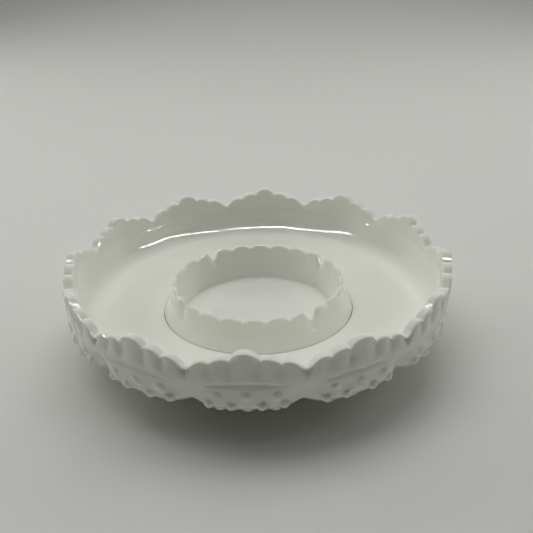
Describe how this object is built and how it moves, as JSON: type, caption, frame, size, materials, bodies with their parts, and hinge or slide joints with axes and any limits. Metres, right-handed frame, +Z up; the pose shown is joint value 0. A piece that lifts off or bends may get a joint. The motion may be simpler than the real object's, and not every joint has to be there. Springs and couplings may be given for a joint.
{
  "type": "chip and dip server",
  "caption": "Wide shallow white glass serving bowl with a scalloped, hobnailed rim and a lift-out scalloped dip cup seated in the middle of its floor.",
  "frame": {"origin": "centre of the foot ring, on the surface the bowl stands on", "axes": "+Z up; the X and Y axes each run through the middle of a rim panel"},
  "size_m": [0.311, 0.311, 0.082],
  "materials": {
    "milk_glass": "opaque white pressed glass, fire-polished gloss"
  },
  "bodies": {
    "bowl": {"serving_bowl": "milk_glass"},
    "cup": {"dip_cup": "milk_glass"}
  },
  "joints": [
    {"name": "cup_lift", "type": "slide", "parent": "bowl", "child": "cup", "axis": [0, 0, 1], "range_m": [0, 0.085]}
  ]
}
